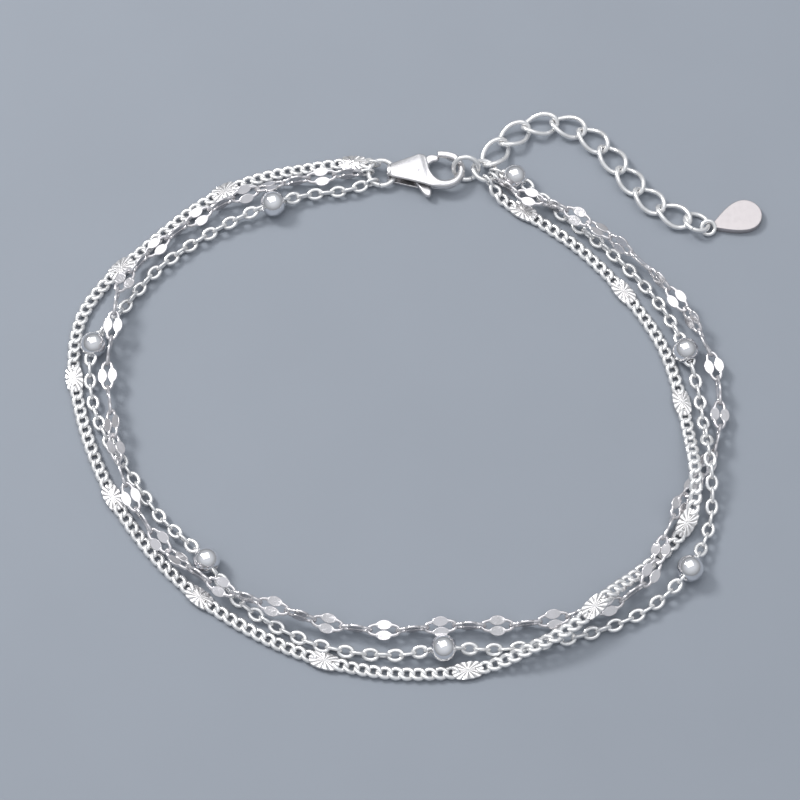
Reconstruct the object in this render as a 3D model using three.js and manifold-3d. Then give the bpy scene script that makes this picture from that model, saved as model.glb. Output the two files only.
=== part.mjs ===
// A three-strand silver chain anklet, closed on its lobster clasp and lying flat in a loop.
// Millimetres, +Z up. The origin is under the middle of the whole piece, on the surface it lies on.
import * as THREE from 'three';
import { mergeVertices } from 'three/addons/utils/BufferGeometryUtils.js';
import Module from 'manifold-3d';

const wasm = await Module();
wasm.setup();

// ---- driving dimensions ----

const WIRE_SIDES = 5;
const LINK_STEPS = 10;
const STRAND_SIDES = 8;

// Curb strand: a flat chain, here its outer form, with pressed sunburst plates along it.
const CURB = { width: 1.3, height: 0.74, steps: 44 };
const PLATE = { count: 13, first: 1.9, pitch: 16.34, length: 3.0, width: 1.6, height: 0.86, sides: 8 };

// Cable strand: its outer form, and the polished balls on it.
const CABLE = { diameter: 1.3, steps: 56 };
const BALL = { diameter: 3.0, bore: 2.1, sides: 10, rings: 4 };
const BALL_POINTS = [3, 7, 12, 17, 22, 28, 33];

// Pressed strand: links whose two sides are flattened into oval lips. One row is a section of the
// wire, from the link's tip to near the middle of a lip: where it is along and across the link,
// which way its wide side faces, and how wide and thick the wire is there.
const LIP_SECTIONS = [
  { along: 1.73, across: 0.3, facing: 20, wide: 0.36, thick: 0.36 },
  { along: 1, across: 0.6, facing: 80, wide: 0.86, thick: 0.38 },
  { along: 0, across: 0.68, facing: 90, wide: 1.2, thick: 0.36 },
];

// Round rings. Each is tilted about a level line through its middle, whose heading is from +X.
const RINGS = {
  clasp_ring: { at: [-4.65, 28.3, 1.1], radius: 1.62, wire: 0.54, tilt: 11, heading: 14 },
  end_ring: { at: [5.7, 28.65, 1.6], radius: 1.53, wire: 0.52, tilt: 58, heading: -3 },
  join_ring: { at: [8.04, 28.53, 1.28], radius: 1.5, wire: 0.48, tilt: 16, heading: 115 },
  tag_ring: { at: [33.75, 21.46, 0.86], radius: 1.48, wire: 0.5, tilt: 22.4, heading: 144.7 },
};
const RING_STEPS = 12;

// The small oval link that ends each strand, round the wire of a ring.
const END_LINK = { long: 2.1, high: 1.64, wire: 0.36 };

// Extender: flat twisted links, as in a curb chain.
const EXTENDER = { count: 9, pitch: 3.66, length: 4.92, width: 3.35, wire: 0.54, twist: 42, height: 0.95 };

// Lobster clasp: a strip folded over at its narrow end, so that one leaf lies over the other.
const CLASP = {
  top: 2.05, leaf: 0.45, hookUnder: 0.92, tipUnder: 1.36, pocketLow: 0.45, pocketHigh: 1.6, pin: 0.32, pinSides: 10, bevel: 0.2,
  pivot: [-0.1, 28.1],
};
const TRIGGER = { low: 0.62, high: 1.22, hub: 0.8, bore: 0.5 };

// Drop tag: a flat drop with a small eye at its tip.
const TAG = { tip: [35.9, 21.1], end: [41.65, 23.32], halfWidth: 2.1, thick: 0.85 };
const TAG_EYE = { radius: 0.82, wire: 0.5, tilt: 25.4, heading: -15.1, height: 0.69 };

// ---- the lie of the strands: points along each chain, from the clasp ring round to the join ring ----

const CURB_ROUTE = [
  [-6.42, 29.52, 1.3], [-9.2, 29.95, 0.6], [-13.0, 29.4, 0.45], [-17.6, 28.5, 0.45], [-22.4, 26.8, 0.45], [-27.4, 23.6, 0.45],
  [-33.0, 18.3, 0.45], [-38.0, 13.1, 0.45], [-40.6, 8.4, 0.45], [-41.2, 3.0, 0.45], [-40.5, -2.0, 0.45],
  [-38.5, -8.8, 0.45], [-35.0, -16.2, 0.45], [-29.6, -23.4, 0.45], [-23.2, -29.0, 0.45], [-14.6, -33.8, 0.45],
  [-6.5, -36.2, 0.45], [1.0, -36.7, 0.48], [7.7, -35.8, 0.62], [12.5, -34.1, 2.1], [17.0, -31.9, 2.8],
  [20.8, -28.3, 2.9], [25.0, -24.5, 0.8], [29.2, -20.6, 0.45], [31.5, -16.6, 1.5], [31.8, -13.4, 2.4],
  [31.7, -10.4, 2.1], [31.4, -6.8, 0.9], [30.8, -2.6, 0.5], [29.0, 4.4, 0.45], [25.4, 10.8, 0.45], [19.8, 17.6, 0.45],
  [13.4, 22.7, 0.48], [10.2, 24.8, 0.52], [8.87, 26.37, 1.2],
];
const CABLE_ROUTE = [
  [-6.62, 26.8, 0.86], [-8.8, 26.0, 0.78], [-13.2, 25.4, 0.8], [-17.9, 23.7, 1.5], [-25.1, 20.2, 0.78], [-31.7, 14.9, 0.78],
  [-35.4, 9.8, 0.78], [-38.8, 4.4, 1.5], [-39.0, -0.6, 0.78], [-37.5, -6.1, 0.78], [-34.0, -11.8, 0.78],
  [-30.2, -17.5, 0.78], [-24.5, -23.3, 1.5], [-21.4, -27.4, 0.78], [-16.2, -31.3, 0.78], [-10.1, -33.8, 0.78],
  [-3.0, -34.6, 0.78], [2.5, -34.0, 1.5], [9.0, -33.9, 0.78], [14.6, -33.0, 0.78], [19.3, -31.9, 0.78],
  [25.8, -29.0, 0.78], [30.7, -24.3, 1.5], [33.3, -18.6, 0.78], [33.7, -14.3, 1.7], [33.5, -10.4, 2.58],
  [33.2, -6.0, 1.1], [32.7, -0.7, 0.78], [31.5, 3.6, 1.5], [28.6, 10.4, 0.78], [23.2, 17.2, 0.78],
  [17.1, 22.8, 0.78], [13.6, 26.05, 1.25], [11.7, 27.5, 1.5], [10.2, 28.1, 1.2],
];
const LIP_ROUTE = [
  [-7.25, 28.25, 1.26], [-8.95, 28.05, 1.46], [-11.2, 27.8, 1.3], [-17.3, 26.6, 1.3], [-23.4, 24.3, 1.3], [-29.0, 20.4, 1.3],
  [-33.4, 16.0, 1.5], [-36.3, 10.6, 2.62], [-36.38, 6.8, 2.68], [-37.0, 1.0, 1.9], [-36.2, -5.3, 2.1],
  [-34.9, -11.9, 2.3], [-32.2, -18.0, 1.5], [-27.8, -23.2, 1.6], [-22.5, -27.2, 2.65], [-16.2, -29.5, 2.5],
  [-9.9, -31.2, 1.4], [-3.3, -31.8, 1.3], [3.2, -31.2, 1.3], [9.7, -31.2, 1.3], [16.3, -30.2, 1.3],
  [22.2, -28.5, 1.3], [26.4, -25.1, 1.9], [28.0, -20.0, 1.6], [30.2, -15.8, 0.9], [33.9, -10.2, 0.95],
  [34.7, -8.2, 1.45], [35.2, -4.2, 1.32], [34.8, 2.0, 1.3], [33.0, 6.6, 1.8], [29.2, 12.2, 2.3], [24.7, 16.8, 2.8],
  [17.3, 22.4, 2.7], [11.9, 24.9, 2.0], [9.7, 27.03, 1.38],
];
// The extender, from the wire of the join ring to the wire of the tag ring.
const EXTENDER_ROUTE = [
  [8.4, 29.65], [9.6, 31.9], [12.0, 34.2], [15.1, 35.7], [18.6, 35.3], [21.7, 33.2], [26.85, 25.9], [29.4, 23.2], [32.6, 21.65],
];

// How each pressed link lies, in order: f flat, e on edge, and the turns between them.
const LIP_LIE = 'eferlefefefefeferleferlefefefefe' + 'refefefe' + 'rlerlrefefuvfeuvrlefe';
const LIE_ANGLE = { f: 0, r: 28, u: 62, e: 90, v: 118, l: 152 };

// ---- colours ----

const POLISHED = new THREE.MeshStandardMaterial({ color: 0xeeece8, roughness: 0.2, metalness: 1 });
const SATIN = new THREE.MeshStandardMaterial({ color: 0xd6d3cf, roughness: 0.45, metalness: 1 });

// ---- helpers ----

const radians = THREE.MathUtils.degToRad;
const point = (row) => new THREE.Vector3(...row);

// A smooth curve through points. Its frames keep a section that is swept along it upright.
function curveThrough(rows) {
  const curve = new THREE.CatmullRomCurve3(rows.map(point), false, 'centripetal');
  curve.computeFrenetFrames = (steps) => {
    const frames = { tangents: [], normals: [], binormals: [] };
    for (let i = 0; i <= steps; i += 1) {
      const tangent = curve.getTangentAt(i / steps);
      const side = tangent.clone().cross(new THREE.Vector3(0, 0, 1)).normalize();
      frames.tangents.push(tangent);
      frames.normals.push(side.clone().cross(tangent));
      frames.binormals.push(side);
    }
    return frames;
  };
  return curve;
}

function solid(geometry) {
  const bare = geometry.clone();
  bare.deleteAttribute('normal');
  bare.deleteAttribute('uv');
  const closed = mergeVertices(bare, 1e-5);
  const vertProperties = new Float32Array(closed.attributes.position.array);
  const triVerts = new Uint32Array(closed.index.array);
  return new wasm.Manifold(new wasm.Mesh({ numProp: 3, vertProperties, triVerts }));
}

function geometryOf(body) {
  const mesh = body.getMesh();
  const geometry = new THREE.BufferGeometry();
  geometry.setAttribute('position', new THREE.BufferAttribute(mesh.vertProperties, 3));
  geometry.setIndex(new THREE.BufferAttribute(mesh.triVerts, 1));
  return geometry;
}

const group = new THREE.Group();

function addNode(name, geometry, material = POLISHED) {
  const mesh = new THREE.Mesh(geometry, material);
  mesh.name = name;
  group.add(mesh);
}

// A ring of wire in the XY plane. place(u) gives the middle of the wire at angle u, the outward
// direction there, and the wire's width and thickness.
function wireLoop(steps, place, shift = 0) {
  const geometry = new THREE.TorusGeometry(1, 0.25, WIRE_SIDES, steps);
  geometry.rotateZ((shift * 2 * Math.PI) / steps);
  const position = geometry.attributes.position;
  const vertex = new THREE.Vector3();
  for (let i = 0; i < position.count; i += 1) {
    vertex.fromBufferAttribute(position, i);
    const u = Math.atan2(vertex.y, vertex.x);
    const section = place(u);
    const outward = (Math.hypot(vertex.x, vertex.y) - 1) / 0.25;
    const upward = vertex.z / 0.25;
    const reach = (outward * section.wide) / 2;
    vertex.set(
      section.middle.x + section.normal.x * reach,
      section.middle.y + section.normal.y * reach,
      (upward * section.thick) / 2,
    );
    position.setXYZ(i, vertex.x, vertex.y, vertex.z);
  }
  return geometry;
}

// An oval link of round wire, given by its outer length and width.
function ovalLink({ length, width, wire }, steps) {
  const a = (length - wire) / 2;
  const b = (width - wire) / 2;
  return wireLoop(steps, (u) => ({
    middle: new THREE.Vector2(a * Math.cos(u), b * Math.sin(u)),
    normal: new THREE.Vector2(b * Math.cos(u), a * Math.sin(u)).normalize(),
    wide: wire,
    thick: wire,
  }));
}

// Turns each section of a link about its long axis, by the given angle at its tip.
function twistLink(geometry, tip, degrees) {
  const position = geometry.attributes.position;
  for (let i = 0; i < position.count; i += 1) {
    const [x, y, z] = [position.getX(i), position.getY(i), position.getZ(i)];
    const angle = radians(degrees) * THREE.MathUtils.clamp(x / tip, -1, 1);
    position.setXYZ(i, x, y * Math.cos(angle) - z * Math.sin(angle), y * Math.sin(angle) + z * Math.cos(angle));
  }
  return geometry;
}

// Puts a link, made along X in the XY plane, between two points, rolled about the line through them.
function between(geometry, start, end, roll = 0) {
  const along = end.clone().sub(start).normalize();
  const side = new THREE.Vector3(0, 0, 1).cross(along).normalize();
  const up = along.clone().cross(side);
  const turn = new THREE.Matrix4().makeBasis(along, side, up);
  turn.multiply(new THREE.Matrix4().makeRotationX(radians(roll)));
  turn.setPosition(start.clone().add(end).multiplyScalar(0.5));
  return geometry.applyMatrix4(turn);
}

// ---- the ends of a strand ----

// The end link stands on edge, with the wire of a ring in one end and the strand's end in the other.
function endLink(at, outward) {
  const middle = at.clone().addScaledVector(outward, END_LINK.long / 2 - END_LINK.wire / 2 - 0.1);
  const size = { length: END_LINK.long, width: END_LINK.high, wire: END_LINK.wire };
  const link = ovalLink(size, LINK_STEPS);
  return between(link, middle.clone().sub(outward), middle.clone().add(outward), 90);
}

function endLinks(curve) {
  const first = endLink(curve.getPointAt(0), curve.getTangentAt(0).negate());
  const last = endLink(curve.getPointAt(1), curve.getTangentAt(1));
  return [solid(first), solid(last)];
}

// A strand's outer form: an eight-sided section swept along its route.
function strandTube(curve, width, height, steps) {
  const section = new THREE.Shape();
  for (let i = 0; i < STRAND_SIDES; i += 1) {
    const angle = ((i + 0.5) / STRAND_SIDES) * 2 * Math.PI;
    const flat = Math.cos(Math.PI / STRAND_SIDES);
    const corner = [(height / 2 / flat) * Math.cos(angle), (width / 2 / flat) * Math.sin(angle)];
    if (i === 0) section.moveTo(...corner);
    else section.lineTo(...corner);
  }
  section.closePath();
  return new THREE.ExtrudeGeometry(section, { extrudePath: curve, steps });
}

// ---- curb strand ----

function sunburstPlate(curve, distance) {
  const plate = new THREE.CylinderGeometry(0.5, 0.5, PLATE.height, PLATE.sides);
  plate.rotateX(Math.PI / 2);
  plate.scale(PLATE.length, PLATE.width, 1);
  const length = curve.getLength();
  const reach = (offset) => curve.getPointAt(THREE.MathUtils.clamp((distance + offset) / length, 0, 1));
  return between(plate, reach(-1), reach(1));
}

const curbCurve = curveThrough(CURB_ROUTE);
const curbPieces = [solid(strandTube(curbCurve, CURB.width, CURB.height, CURB.steps)), ...endLinks(curbCurve)];
for (let i = 0; i < PLATE.count; i += 1) {
  curbPieces.push(solid(sunburstPlate(curbCurve, PLATE.first + i * PLATE.pitch)));
}
addNode('curb_chain', geometryOf(wasm.Manifold.union(curbPieces)));

// ---- cable strand and its balls ----

const cableCurve = curveThrough(CABLE_ROUTE);
const cableTube = strandTube(cableCurve, CABLE.diameter, CABLE.diameter, CABLE.steps);
addNode('cable_chain', geometryOf(wasm.Manifold.union([solid(cableTube), ...endLinks(cableCurve)])));

function drilledBall() {
  const radius = BALL.diameter / 2;
  const mouth = Math.asin(BALL.bore / 2 / radius);
  const profile = [];
  for (let i = 0; i <= BALL.rings; i += 1) {
    const angle = mouth + (i / BALL.rings) * (Math.PI - 2 * mouth);
    profile.push(new THREE.Vector2(radius * Math.sin(angle), -radius * Math.cos(angle)));
  }
  profile.push(profile[0].clone());
  return new THREE.LatheGeometry(profile, BALL.sides);
}

BALL_POINTS.forEach((index, i) => {
  const at = point(CABLE_ROUTE[index]);
  const u = index / (CABLE_ROUTE.length - 1);
  const tangent = cableCurve.getTangent(u);
  const ball = drilledBall().applyQuaternion(
    new THREE.Quaternion().setFromUnitVectors(new THREE.Vector3(0, 1, 0), tangent),
  );
  ball.translate(at.x, at.y, at.z);
  addNode(`ball_${i + 1}`, ball);
});

// ---- pressed strand ----

// The sections of the table, mirrored to all four quarters of a link.
function lipLink() {
  return wireLoop(LINK_STEPS, (u) => {
    const [east, north] = [Math.sign(Math.cos(u)), Math.sign(Math.sin(u))];
    const fromTip = Math.atan2(Math.abs(Math.sin(u)), Math.abs(Math.cos(u)));
    const row = LIP_SECTIONS[Math.round((fromTip / (2 * Math.PI)) * LINK_STEPS - 0.5)];
    const facing = radians(row.facing);
    return {
      middle: new THREE.Vector2(east * row.along, north * row.across),
      normal: new THREE.Vector2(east * Math.cos(facing), north * Math.sin(facing)),
      wide: row.wide,
      thick: row.thick,
    };
  }, 0.5);
}

const lipCurve = curveThrough(LIP_ROUTE);
const lipCount = LIP_LIE.length;
const lipPieces = endLinks(lipCurve);
for (let i = 0; i < lipCount; i += 1) {
  const start = lipCurve.getPointAt(i / lipCount);
  const end = lipCurve.getPointAt((i + 1) / lipCount);
  lipPieces.push(solid(between(lipLink(), start, end, LIE_ANGLE[LIP_LIE[i]])));
}
addNode('pressed_chain', geometryOf(wasm.Manifold.union(lipPieces)));

// ---- rings ----

for (const [name, ring] of Object.entries(RINGS)) {
  const loop = new THREE.TorusGeometry(ring.radius, ring.wire / 2, WIRE_SIDES, RING_STEPS);
  loop.rotateX(radians(ring.tilt)).rotateZ(radians(ring.heading));
  loop.translate(...ring.at);
  addNode(name, loop);
}

// ---- extender ----

const extenderCurve = curveThrough(EXTENDER_ROUTE.map(([x, y]) => [x, y, EXTENDER.height]));
const extenderLength = extenderCurve.getLength();
for (let i = 0; i < EXTENDER.count; i += 1) {
  const middle = (i + 0.5) * EXTENDER.pitch;
  const at = (distance) => {
    const u = distance / extenderLength;
    if (u >= 0 && u <= 1) return extenderCurve.getPointAt(u);
    const edge = u < 0 ? 0 : 1;
    const over = distance - edge * extenderLength;
    return extenderCurve.getPointAt(edge).addScaledVector(extenderCurve.getTangentAt(edge), over);
  };
  const link = twistLink(ovalLink(EXTENDER, LINK_STEPS), EXTENDER.length / 2, EXTENDER.twist);
  addNode(`extender_link_${i + 1}`, between(link, at(middle - EXTENDER.pitch / 2), at(middle + EXTENDER.pitch / 2)));
}

// ---- lobster clasp ----

// The outline seen from above: the folded narrow end, the shoulder, and round the hook to its tip.
function claspOutline() {
  const outline = new THREE.Shape();
  outline.moveTo(-4.0, 27.75);
  outline.lineTo(-4.0, 28.85);
  outline.quadraticCurveTo(-3.9, 29.2, -3.2, 29.4);
  outline.lineTo(-0.4, 30.55);
  outline.quadraticCurveTo(0.5, 30.9, 0.85, 30.2);
  outline.lineTo(1.1, 29.0);
  outline.bezierCurveTo(1.3, 27.6, 2.2, 26.95, 3.1, 26.95);
  outline.bezierCurveTo(4.1, 26.95, 4.75, 27.8, 4.75, 28.5);
  outline.bezierCurveTo(4.75, 29.5, 4.1, 30.1, 2.3, 30.15);
  outline.lineTo(2.15, 30.95);
  outline.bezierCurveTo(4.4, 31.1, 5.6, 30.0, 5.6, 28.5);
  outline.bezierCurveTo(5.6, 27.0, 4.5, 25.9, 3.0, 25.85);
  outline.bezierCurveTo(1.6, 25.85, 0.9, 26.35, -0.6, 26.7);
  outline.lineTo(-3.3, 27.4);
  outline.closePath();
  return outline;
}

function lowerLeafOutline() {
  const outline = new THREE.Shape();
  outline.moveTo(-4.0, 27.75);
  outline.lineTo(-4.0, 28.85);
  outline.quadraticCurveTo(-3.9, 29.2, -3.2, 29.4);
  outline.lineTo(-0.4, 30.55);
  outline.quadraticCurveTo(0.4, 30.8, 0.7, 30.1);
  outline.lineTo(0.9, 28.6);
  outline.lineTo(0.2, 26.5);
  outline.lineTo(-3.3, 27.4);
  outline.closePath();
  return outline;
}

const flatPlate = (outline, low, high, curveSegments = 4, bevel = 0) => {
  const plate = new THREE.ExtrudeGeometry(outline, {
    depth: high - low - 2 * bevel,
    curveSegments,
    bevelEnabled: bevel > 0,
    bevelThickness: bevel,
    bevelSize: bevel,
    bevelOffset: -bevel,
    bevelSegments: 1,
  });
  return solid(plate.translate(0, 0, low + bevel));
};

const rectangle = (x0, x1, y0, y1) => {
  const corners = [[x0, y0], [x1, y0], [x1, y1], [x0, y1]];
  return new THREE.Shape(corners.map(([x, y]) => new THREE.Vector2(x, y)));
};

const upright = (radius, low, high, [x, y]) => {
  const post = new THREE.CylinderGeometry(radius, radius, high - low, CLASP.pinSides);
  return solid(post.rotateX(Math.PI / 2).translate(x, y, (low + high) / 2));
};

const pocket = new THREE.Shape([
  [-3.7, 24], [1.7, 24], [1.6, 27.3], [1.4, 28.2], [1.4, 29.3], [1.4, 32], [-3.7, 32],
].map(([x, y]) => new THREE.Vector2(x, y)));
const fold = flatPlate(rectangle(-4.0, -3.7, 27.75, 28.85), 0, CLASP.top);
const spine = flatPlate(
  new THREE.Shape([[-2.5, 29.25], [-0.5, 30.1], [-0.5, 30.5], [-2.5, 29.6]].map(([x, y]) => new THREE.Vector2(x, y))),
  0.1,
  CLASP.top - 0.1,
);
// The trigger's bar passes below the hook's tip.
const underTip = flatPlate(rectangle(1.9, 3.3, 29.7, 32), 0.5, CLASP.tipUnder);
const claspBody = flatPlate(claspOutline(), CLASP.hookUnder, CLASP.top, 4, CLASP.bevel)
  .subtract(flatPlate(pocket, CLASP.pocketLow, CLASP.pocketHigh))
  .subtract(underTip)
  .add(flatPlate(lowerLeafOutline(), 0, CLASP.leaf))
  .add(fold)
  .add(spine)
  .add(upright(CLASP.pin, 0.1, CLASP.top - 0.1, CLASP.pivot));
addNode('clasp_body', geometryOf(claspBody));

// The trigger turns on the pin: its bar closes the hook, and its tab is pulled with a nail.
function triggerOutline() {
  const outline = new THREE.Shape();
  outline.moveTo(-0.75, 28.3);
  outline.lineTo(0.15, 29.5);
  outline.lineTo(0.85, 30.7);
  outline.lineTo(1.3, 30.95);
  outline.lineTo(2.2, 30.9);
  outline.lineTo(2.5, 30.5);
  outline.lineTo(2.3, 30.05);
  outline.lineTo(1.4, 29.85);
  outline.lineTo(0.75, 28.6);
  outline.lineTo(0.75, 27.4);
  outline.lineTo(1.35, 26.2);
  outline.quadraticCurveTo(1.6, 25.0, 1.15, 24.9);
  outline.quadraticCurveTo(0.9, 24.9, 0.5, 25.5);
  outline.lineTo(-0.4, 26.9);
  outline.closePath();
  return outline;
}
const trigger = flatPlate(triggerOutline(), TRIGGER.low, TRIGGER.high, 4)
  .add(upright(TRIGGER.hub, TRIGGER.low, TRIGGER.high, CLASP.pivot))
  .subtract(upright(TRIGGER.bore, 0, CLASP.top, CLASP.pivot));
addNode('clasp_trigger', geometryOf(trigger));

// ---- drop tag ----

function dropTag() {
  const tip = new THREE.Vector2(...TAG.tip);
  const end = new THREE.Vector2(...TAG.end);
  const length = tip.distanceTo(end);
  const half = TAG.halfWidth;
  const outline = new THREE.Shape();
  outline.moveTo(0, -0.35);
  outline.bezierCurveTo(length * 0.3, -half * 0.75, length * 0.5, -half, length - half, -half);
  outline.absarc(length - half, 0, half, -Math.PI / 2, Math.PI / 2, false);
  outline.bezierCurveTo(length * 0.5, half, length * 0.3, half * 0.75, 0, 0.35);
  outline.closePath();
  const plate = flatPlate(outline, 0, TAG.thick, 6);
  const eye = new THREE.TorusGeometry(TAG_EYE.radius, TAG_EYE.wire / 2, WIRE_SIDES, RING_STEPS);
  eye.rotateX(radians(TAG_EYE.tilt)).rotateZ(radians(TAG_EYE.heading));
  eye.translate(-TAG_EYE.radius, 0, TAG_EYE.height);
  const whole = plate.add(solid(eye));
  const turn = new THREE.Matrix4().makeRotationZ(Math.atan2(end.y - tip.y, end.x - tip.x));
  turn.setPosition(tip.x, tip.y, 0);
  return geometryOf(whole).applyMatrix4(turn);
}
addNode('drop_tag', dropTag(), SATIN);

export default group;
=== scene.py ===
# A three-strand silver chain anklet, closed on its lobster clasp and lying in a loose loop.
# Sizes are in metres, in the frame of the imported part. +Z is up from the surface it lies on.
import math

import bmesh
import bpy
import numpy as np
from mathutils import Matrix, Vector
from mathutils.geometry import delaunay_2d_cdt


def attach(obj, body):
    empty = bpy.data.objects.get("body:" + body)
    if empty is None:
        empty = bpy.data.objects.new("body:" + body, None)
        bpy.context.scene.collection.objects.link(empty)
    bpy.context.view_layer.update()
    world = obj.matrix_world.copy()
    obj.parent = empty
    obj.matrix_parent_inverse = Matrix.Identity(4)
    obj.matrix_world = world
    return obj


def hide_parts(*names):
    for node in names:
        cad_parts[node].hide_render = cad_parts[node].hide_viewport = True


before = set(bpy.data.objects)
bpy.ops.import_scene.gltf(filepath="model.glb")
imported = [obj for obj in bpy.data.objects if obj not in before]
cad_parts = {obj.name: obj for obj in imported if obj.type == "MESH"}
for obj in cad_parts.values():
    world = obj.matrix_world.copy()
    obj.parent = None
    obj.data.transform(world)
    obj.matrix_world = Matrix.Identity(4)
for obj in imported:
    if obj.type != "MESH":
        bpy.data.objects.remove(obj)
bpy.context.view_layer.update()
MM = 0.001

# ---------------------------------------------------------------------------------------------
# Camera, table top and lights
# The piece lies on a pale matt table top under wide, soft studio lights.
# The camera looks down on it steeply from the front.
# ---------------------------------------------------------------------------------------------

CAMERA_RISE = math.radians(64)
CAMERA_DISTANCE = 0.315
CAMERA_AIM = Vector((-0.0024, -0.0022, 0.0))
CAMERA_LENS = 119.9

camera_back = Vector((0, -math.cos(CAMERA_RISE), math.sin(CAMERA_RISE)))
camera = bpy.data.objects.new("camera", bpy.data.cameras.new("camera"))
camera.data.lens = CAMERA_LENS
camera.data.clip_start = 0.01
camera.location = CAMERA_AIM + camera_back * CAMERA_DISTANCE
camera.rotation_mode = "QUATERNION"
camera.rotation_quaternion = (-camera_back).to_track_quat("-Z", "Y")
bpy.context.scene.collection.objects.link(camera)
bpy.context.scene.camera = camera


def add_node(tree, kind, inputs=None, **settings):
    """Adds a node. Each input is given a value, or a socket that feeds it."""
    node = tree.nodes.new(kind)
    for key, value in settings.items():
        setattr(node, key, value)
    for key, value in (inputs or {}).items():
        if isinstance(value, bpy.types.NodeSocket):
            tree.links.new(value, node.inputs[key])
        else:
            node.inputs[key].default_value = value
    return node


def shown(name, mesh):
    """Puts a mesh in the scene as an object at the origin."""
    thing = bpy.data.objects.new(name, mesh)
    bpy.context.scene.collection.objects.link(thing)
    return thing


def bare_material(name):
    """A material with only its output node in it."""
    material = bpy.data.materials.new(name)
    material.use_nodes = True
    tree = material.node_tree
    tree.nodes.clear()
    return material, tree, tree.nodes.new("ShaderNodeOutputMaterial")


TABLE_SIZE = 1.6
TABLE_COLOUR = (0.28, 0.305, 0.345, 1)

table_paint, tree, out = bare_material("pale table top")
place = add_node(tree, "ShaderNodeTexCoord").outputs["Object"]
mottle = add_node(tree, "ShaderNodeTexNoise", {"Vector": place, "Scale": 60, "Detail": 3})
shade = add_node(tree, "ShaderNodeMixRGB", {
    "Fac": mottle.outputs["Fac"],
    "Color1": TABLE_COLOUR,
    "Color2": [c * 0.94 for c in TABLE_COLOUR[:3]] + [1],
})
table = add_node(tree, "ShaderNodeBsdfPrincipled", {"Base Color": shade.outputs[0], "Roughness": 0.75})
tree.links.new(table.outputs[0], out.inputs["Surface"])

grid = bmesh.new()
bmesh.ops.create_grid(grid, x_segments=1, y_segments=1, size=TABLE_SIZE / 2)
table_mesh = bpy.data.meshes.new("table_top")
grid.to_mesh(table_mesh)
grid.free()
table_mesh.materials.append(table_paint)
table_top = shown("table_top", table_mesh)

# Each light is a softbox: where it stands, how wide and long it is, and its power.
SOFTBOXES = {
    "overhead": dict(at=(-0.08, 0.20, 0.70), size=(0.80, 0.70), power=3.4),
    "key": dict(at=(-0.42, 0.30, 0.52), size=(0.18, 0.18), power=5.2),
}
for name, box in SOFTBOXES.items():
    light = bpy.data.lights.new(name, "AREA")
    light.shape = "RECTANGLE"
    light.size, light.size_y = box["size"]
    light.energy = box["power"]
    lamp = bpy.data.objects.new(name, light)
    lamp.location = box["at"]
    lamp.rotation_mode = "QUATERNION"
    lamp.rotation_quaternion = (-Vector(box["at"])).to_track_quat("-Z", "Y")
    bpy.context.scene.collection.objects.link(lamp)

# The studio round it: light above, and darker towards the walls.
studio = bpy.data.worlds.new("studio")
studio.use_nodes = True
tree = studio.node_tree
upward = add_node(tree, "ShaderNodeSeparateXYZ", {0: add_node(tree, "ShaderNodeTexCoord").outputs["Generated"]})
walls = add_node(tree, "ShaderNodeMapRange", {
    "Value": upward.outputs[2], "From Min": 0.05, "From Max": 0.85, "To Min": 0.50, "To Max": 1.35,
})
tree.links.new(walls.outputs[0], tree.nodes["Background"].inputs["Strength"])
tree.nodes["Background"].inputs["Color"].default_value = (0.90, 0.94, 1.0, 1)
bpy.context.scene.world = studio
bpy.context.scene.view_settings.view_transform = "Standard"
bpy.context.scene.view_settings.exposure = -0.85

# ---------------------------------------------------------------------------------------------
# Cable strand
# Small oval links of round sterling wire, each at right angles to the next, soldered closed.
# The strand lies in soft bends, so its links roll a little one way or the other.
# ---------------------------------------------------------------------------------------------

CABLE_ROUTE = [
    (-6.62, 26.8, 0.86), (-8.8, 26.0, 0.78), (-13.2, 25.4, 0.8), (-17.9, 23.7, 1.5), (-25.1, 20.2, 0.78),
    (-31.7, 14.9, 0.78), (-35.4, 9.8, 0.78), (-38.8, 4.4, 1.5), (-39.0, -0.6, 0.78), (-37.5, -6.1, 0.78),
    (-34.0, -11.8, 0.78), (-30.2, -17.5, 0.78), (-24.5, -23.3, 1.5), (-21.4, -27.4, 0.78), (-16.2, -31.3, 0.78),
    (-10.1, -33.8, 0.78), (-3.0, -34.6, 0.78), (2.5, -34.0, 1.5), (9.0, -33.9, 0.78), (14.6, -33.0, 0.78),
    (19.3, -31.9, 0.78), (25.8, -29.0, 0.78), (30.7, -24.3, 1.5), (33.3, -18.6, 0.78), (33.7, -14.3, 1.7),
    (33.5, -10.4, 2.58), (33.2, -6.0, 1.1), (32.7, -0.7, 0.78), (31.5, 3.6, 1.5), (28.6, 10.4, 0.78),
    (23.2, 17.2, 0.78), (17.1, 22.8, 0.78), (13.6, 26.05, 1.25), (11.7, 27.5, 1.5), (10.2, 28.1, 1.2),
]
CABLE_LINK = {"Link length": 2.2 * MM, "Link width": 1.64 * MM, "Wire": 0.48 * MM, "Flatness": 0.85}
CABLE_PITCH = 1.41 * MM
CABLE_TIP = math.radians(16)
STEPS_PER_POINT = 40


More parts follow.
